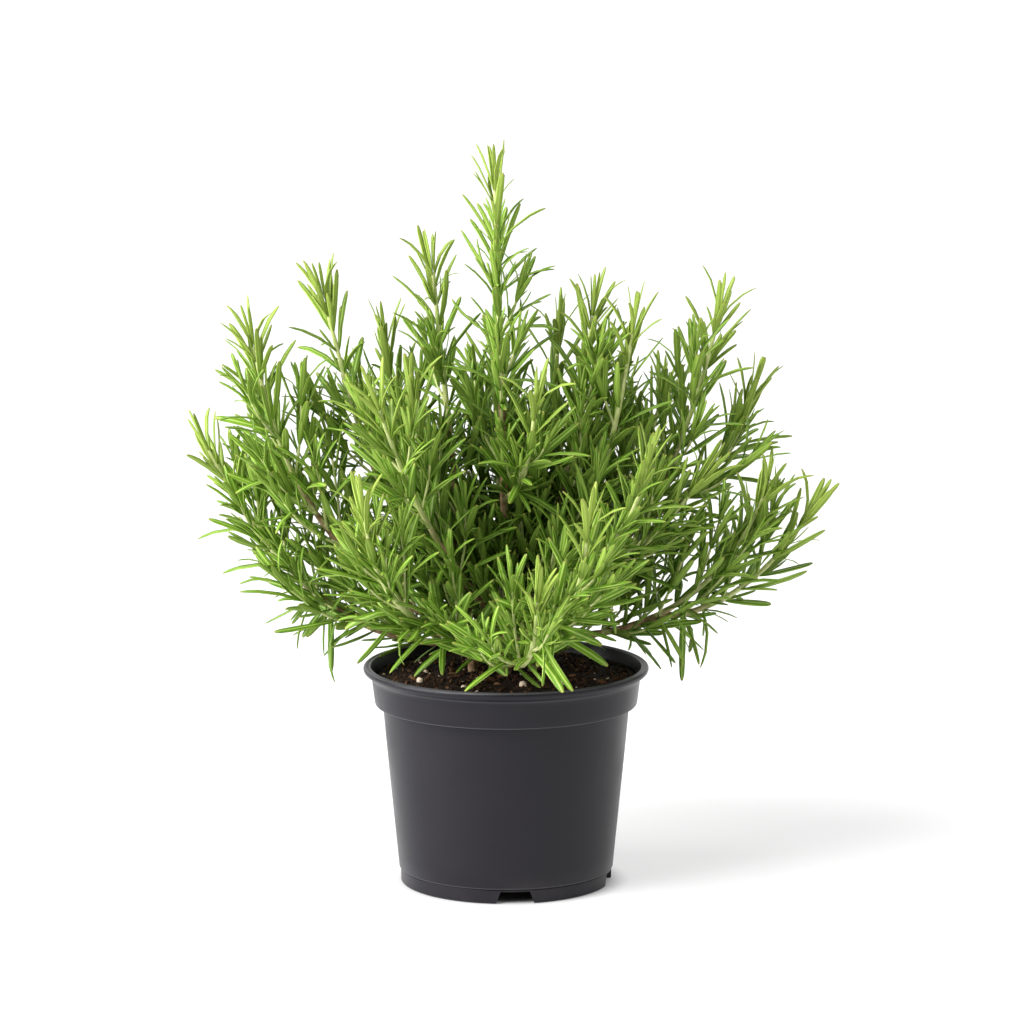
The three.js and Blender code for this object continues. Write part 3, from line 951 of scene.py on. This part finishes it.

# %% [markdown]
# ## Leaves into meshes
#
# Six thousand separate leaf objects would be slow to handle, so the leaves of each stem become
# one mesh. The model leaf's points are bent along an arc for each row, all rows at once in an
# array. Numbers that the leaf material needs are stored on the points: the place across and along
# the leaf, which side it is, the leaf's age, how deep it sits in the bush for its painted shade,
# and its own tint.

# %% A flat layout for the leaves' skins


def unroll_leaf():
    """Corner places (u, v) of the model leaf's faces, slit along the middle of its underside."""
    turn = np.zeros(len(leaf_points))
    poles = (leaf_along < 1e-4) | (leaf_along > 1 - 1e-4)
    for reach in {round(float(value), 3) for value in leaf_along[~poles]}:
        ring = np.nonzero(np.abs(leaf_along - reach) < 1e-3)[0]
        angle = np.arctan2(leaf_across[ring], leaf_up[ring] - leaf_up[ring].mean())
        turn[ring] = np.round(angle / (2 * pi) + 0.5, 4) % 1
    layouts = []
    for group in leaf_faces:
        u = turn[group]
        on_pole = poles[group]
        for face in range(len(group)):
            known = u[face][~on_pole[face]]
            if known.max() - known.min() > 0.5:
                u[face] = np.where(u[face] < 0.5, u[face] + 1, u[face])
                known = u[face][~on_pole[face]]
            u[face][on_pole[face]] = known.mean()
        layouts.append(np.stack([u, leaf_along[group]], 2))
    return layouts


leaf_layouts = unroll_leaf()


def lay_out_flat(piece, count):
    """One cell of a sheet for each leaf."""
    columns = int(np.ceil(np.sqrt(3.5 * count)))
    rows = int(np.ceil(count / columns))
    index = np.arange(count)
    corner = np.stack([index % columns, index // columns], 1)
    cell = np.array([1 / columns, 1 / rows])
    parts = []
    for layout in leaf_layouts:
        inside = 0.06 + 0.88 * layout
        parts.append(((corner[:, None, None] + inside[None]) * cell).reshape(-1, 2))
    sheet = piece.data.uv_layers.new(name="OFBake")
    sheet.data.foreach_set("uv", np.concatenate(parts).ravel().astype(np.float32))


print("layout:", [layout.shape for layout in leaf_layouts])

# %% Stamp the leaves
# The bush's middle and reach, for the leaves' painted shade.
CROWN_MIDDLE, CROWN_REACH = np.array([0, 0.02, 0.135]), np.array([0.135, 0.11, 0.15])


def depth_in_crown(feet):
    """For the painted shade: 1 well inside the bush, 0 at its outside."""
    reach = np.linalg.norm((feet - CROWN_MIDDLE) / CROWN_REACH, axis=1)
    return np.clip((0.95 - reach) / 0.6, 0, 1)


def bend_leaves(rows):
    """The points of every leaf: the model leaf bent along each leaf's own arc."""
    foot, direction, face = rows[:, 0:3], rows[:, 3:6], rows[:, 6:9]
    length, half_width, curl, twist = (rows[:, i, None] for i in (9, 10, 11, 12))
    curl = np.where(np.abs(curl) < 1e-3, 1e-3, curl)
    across = np.cross(direction, face)
    angle = curl * leaf_along[None]
    ahead = length * np.sin(angle) / curl
    down = -length * (1 - np.cos(angle)) / curl
    cosine, sine = np.cos(angle)[..., None], np.sin(angle)[..., None]
    normal = cosine * face[:, None] + sine * direction[:, None]
    roll = twist * leaf_along[None]
    x, z = half_width * leaf_across[None], half_width * leaf_up[None]
    right = x * np.cos(roll) - z * np.sin(roll)
    above = x * np.sin(roll) + z * np.cos(roll)
    return (
        foot[:, None]
        + ahead[..., None] * direction[:, None]
        + down[..., None] * face[:, None]
        + right[..., None] * across[:, None]
        + above[..., None] * normal
    )


CROWN_LEFT, CROWN_RIGHT = -145.5 * MM, 157 * MM
RIM_INSIDE = POT_RADIUS - 6.5 * MM  # leaves nearer to the axis hang over the compost


def fits(points):
    """Whether each leaf misses the pot and the compost and stays inside the frame's box."""
    out = np.hypot(points[..., 0], points[..., 1])
    height = points[..., 2]
    by_wall = (out > RIM_INSIDE) & (out < POT_RADIUS + 1.5 * MM)
    wall = by_wall & (height < POT_HEIGHT + 1 * MM)
    ground = (out <= RIM_INSIDE) & (height < SOIL_TOP + 1 * MM)
    before_rim = (out > POT_RADIUS - 8 * MM) & (points[..., 1] < -20 * MM)
    front = before_rim & (height < POT_HEIGHT + 6 * MM)
    low = np.array([CROWN_LEFT, cad_box[0][1] - 1.5 * MM, 0])
    high = np.array([CROWN_RIGHT, cad_box[1][1] + 1.5 * MM, cad_box[1][2] + 1.5 * MM])
    outside = ((points < low) | (points > high)).any(2)
    return ~(wall | ground | front | outside).any(1)


def stamp_leaves(name, rows):
    rows = np.array(rows)
    points = bend_leaves(rows)
    kept = fits(points)
    rows, points = rows[kept], points[kept]
    faces = repeat_faces(leaf_faces, len(rows), len(leaf_points))
    piece = mesh_of(points.reshape(-1, 3), faces, name)
    numbers = {
        "across": np.tile(leaf_across, len(rows)),
        "along": np.tile(leaf_along, len(rows)),
        "upper": np.tile((leaf_up > -0.15 * np.abs(leaf_across) - 0.02).astype(float), len(rows)),
        "age": np.repeat(rows[:, 13], len(leaf_points)),
        "shade": np.repeat(depth_in_crown(rows[:, :3]), len(leaf_points)),
        "tint": np.repeat(rows[:, 14], len(leaf_points)),
    }
    for label, values in numbers.items():
        attribute = piece.data.attributes.new(label, "FLOAT", "POINT")
        attribute.data.foreach_set("value", values.astype(np.float32))
    piece.data.polygons.foreach_set("use_smooth", np.ones(len(piece.data.polygons), bool))
    lay_out_flat(piece, len(rows))
    return piece


leaf_pieces = []
for shoot in shoots:
    piece = stamp_leaves(f"needles_{shoot.name}", leaf_rows[shoot.name])
    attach(piece, "root")
    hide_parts(f"leaves_{shoot.name}")
    leaf_pieces.append(piece)
bpy.data.objects.remove(leaf)
print("leaf faces:", sum(len(piece.data.polygons) for piece in leaf_pieces))

# %% [markdown]
# ## Leaf surface
#
# The upper side is a glossy green, yellow-green while the leaf is young, with a pale line down
# its groove and pale edges where the margin rolls under. The lower side is a matt grey-green,
# and the leaf's very point is tinged with brown. Leaves deep in the bush are painted darker, as
# shade.

# %% Leaf material
needle_green, tree, shader = new_material("rosemary leaf")
across = calculate(tree, "ABSOLUTE", read_attribute(tree, "across", (-1300, 200)))
along = read_attribute(tree, "along", (-1300, 0))
upper = read_attribute(tree, "upper", (-1300, -200))
age = read_attribute(tree, "age", (-1300, -400))
tint = read_attribute(tree, "tint", (-1300, -600))
grain = place_group(tree, fine_grain, (-1300, 500), Size=900.0, Patch_Size=120.0, Seed=1.0)
young = mix_colors(tree, tint, (0.27, 0.38, 0.045), (0.37, 0.46, 0.075))
mature = mix_colors(tree, tint, (0.100, 0.250, 0.009), (0.185, 0.370, 0.018))
ripeness = calculate(tree, "ADD", age, calculate(tree, "MULTIPLY", along, -0.12))
ripeness = rescale(tree, ripeness, 0.0, 0.5)
green = mix_colors(tree, ripeness, young, mature)
mottle = rescale(tree, grain.outputs["Grain"], 0.3, 0.7, 0.0, 0.3)
green = mix_colors(tree, mottle, green, (0.24, 0.37, 0.02))
# Leaves deep inside the bush are painted a darker green, and their pale lines too, as painted
# shade.
shade = read_attribute(tree, "shade", (-1300, -800))
painted_crown_shade = calculate(tree, "MULTIPLY", shade, 0.74)
green = mix_colors(tree, painted_crown_shade, green, (0.036, 0.100, 0.006))
groove = rescale(tree, across, 0.30, 0.10, 0.0, 0.95)
edge = rescale(tree, across, 0.72, 0.92, 0.0, 0.8)
pale = calculate(tree, "MAXIMUM", groove, edge)
light_green = mix_colors(tree, painted_crown_shade, (0.40, 0.52, 0.12), (0.15, 0.27, 0.02))
green = mix_colors(tree, 0.30, green, (0.05, 0.13, 0.006))
top_side = mix_colors(tree, pale, green, light_green)
under_side = mix_colors(tree, 0.4, green, (0.30, 0.40, 0.08))
under_side = mix_colors(tree, calculate(tree, "MULTIPLY", pale, 0.6), under_side, light_green)
color = mix_colors(tree, upper, under_side, top_side)
brown_point = rescale(tree, along, 0.9, 1.0, 0.0, 0.5)
color = mix_colors(tree, brown_point, color, (0.26, 0.19, 0.05))
tree.links.new(color, shader.inputs["Base Color"])
tree.links.new(rescale(tree, upper, 0.0, 1.0, 0.75, 0.42), shader.inputs["Roughness"])
shader.inputs["Specular IOR Level"].default_value = 0.22
shader.inputs["Subsurface Weight"].default_value = 0.1
shader.inputs["Subsurface Radius"].default_value = (0.6, 1.0, 0.15)
shader.inputs["Subsurface Scale"].default_value = 1.2 * MM
add_bump(tree, shader, grain.outputs["Grain"], 0.25, 0.1 * MM)
for piece in leaf_pieces:
    piece.data.materials.append(needle_green)
print("leaf material done")

# %% [markdown]
# ## The wood
#
# A stem is a round bar that tapers and swells a little at each leaf pair. A curve with a bevel is
# the quick way to such a bar: its points carry the radius, and it is made a mesh at the end. Each
# stem and its side shoots are splines of one curve, so they make one piece. Every point then gets
# its distance from the tip, because the young end is green and only the old end has bark.

# %% Wood of each stem
OLD_STEM, OLD_TWIG = 110 * MM, 90 * MM  # from the tip to where the bark is fully brown


def make_wood(name, group):
    deselect()
    bpy.ops.curve.primitive_nurbs_path_add()
    piece = bpy.context.object
    curve = piece.data
    curve.splines.clear()
    curve.dimensions = "3D"
    curve.bevel_depth = 1.0
    curve.bevel_resolution = 3
    curve.use_fill_caps = True
    samples, ages = [], []
    for shoot in group:
        line = shoot.line[::2] if shoot.length > 60 * MM else shoot.line
        from_tip = np.linspace(shoot.length, 0, len(line))
        radii = shoot.tip_radius + (shoot.radius - shoot.tip_radius) * from_tip / shoot.length
        knots = 0.05 * np.sin(from_tip * 2 * pi / (8.6 * MM))
        radii = radii * (1 + knots + 0.03 * np.sin(from_tip * 900))
        spline = curve.splines.new("POLY")
        spline.points.add(len(line) - 1)
        spline.points.foreach_set("co", np.column_stack([line, np.ones(len(line))]).ravel())
        spline.points.foreach_set("radius", radii)
        samples.append(line)
        is_stem = shoot is group[0]
        ages.append(np.clip(from_tip / OLD_STEM, 0, 1) if is_stem else from_tip / OLD_TWIG)
    make_active(piece)
    bpy.ops.object.convert(target="MESH")
    piece = bpy.context.object
    samples, ages = np.vstack(samples), np.concatenate(ages)
    near = kdtree.KDTree(len(samples))
    for index, point in enumerate(samples):
        near.insert(point, index)
    near.balance()
    nearest = [near.find(point)[1] for point in points_of(piece.data)]
    bark_age = piece.data.attributes.new("age", "FLOAT", "POINT")
    bark_age.data.foreach_set("value", ages[nearest].astype(np.float32))
    return settle(piece, name, smooth_below=80)


wood_pieces = []
for shoot in shoots:
    piece = make_wood(f"wood_{shoot.name}", twigs[shoot.name])
    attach(piece, "root")
    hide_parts(f"stem_{shoot.name}")
    wood_pieces.append(piece)
print("wood faces:", sum(len(piece.data.polygons) for piece in wood_pieces))

# %% Wood material
bark_material, tree, shader = new_material("rosemary wood")
age = read_attribute(tree, "age", (-1300, -400))
grain = place_group(tree, fine_grain, (-1300, 500), Size=1100.0, Patch_Size=260.0, Seed=9.0)
flecks = rescale(tree, grain.outputs["Patches"], 0.4, 0.62)
fresh = mix_colors(tree, flecks, (0.42, 0.50, 0.15), (0.56, 0.60, 0.26))
old = mix_colors(tree, flecks, (0.20, 0.115, 0.055), (0.42, 0.28, 0.15))
wandering = calculate(tree, "MULTIPLY", grain.outputs["Patches"], 0.25)
wandering = calculate(tree, "ADD", age, wandering)
color = mix_colors(tree, rescale(tree, wandering, 0.55, 0.9), fresh, old)
tree.links.new(color, shader.inputs["Base Color"])
tree.links.new(rescale(tree, age, 0.3, 0.9, 0.55, 0.9), shader.inputs["Roughness"])
add_bump(tree, shader, grain.outputs["Patches"], 0.7, 0.4 * MM)
for piece in wood_pieces:
    piece.data.materials.append(bark_material)
print("wood material done")
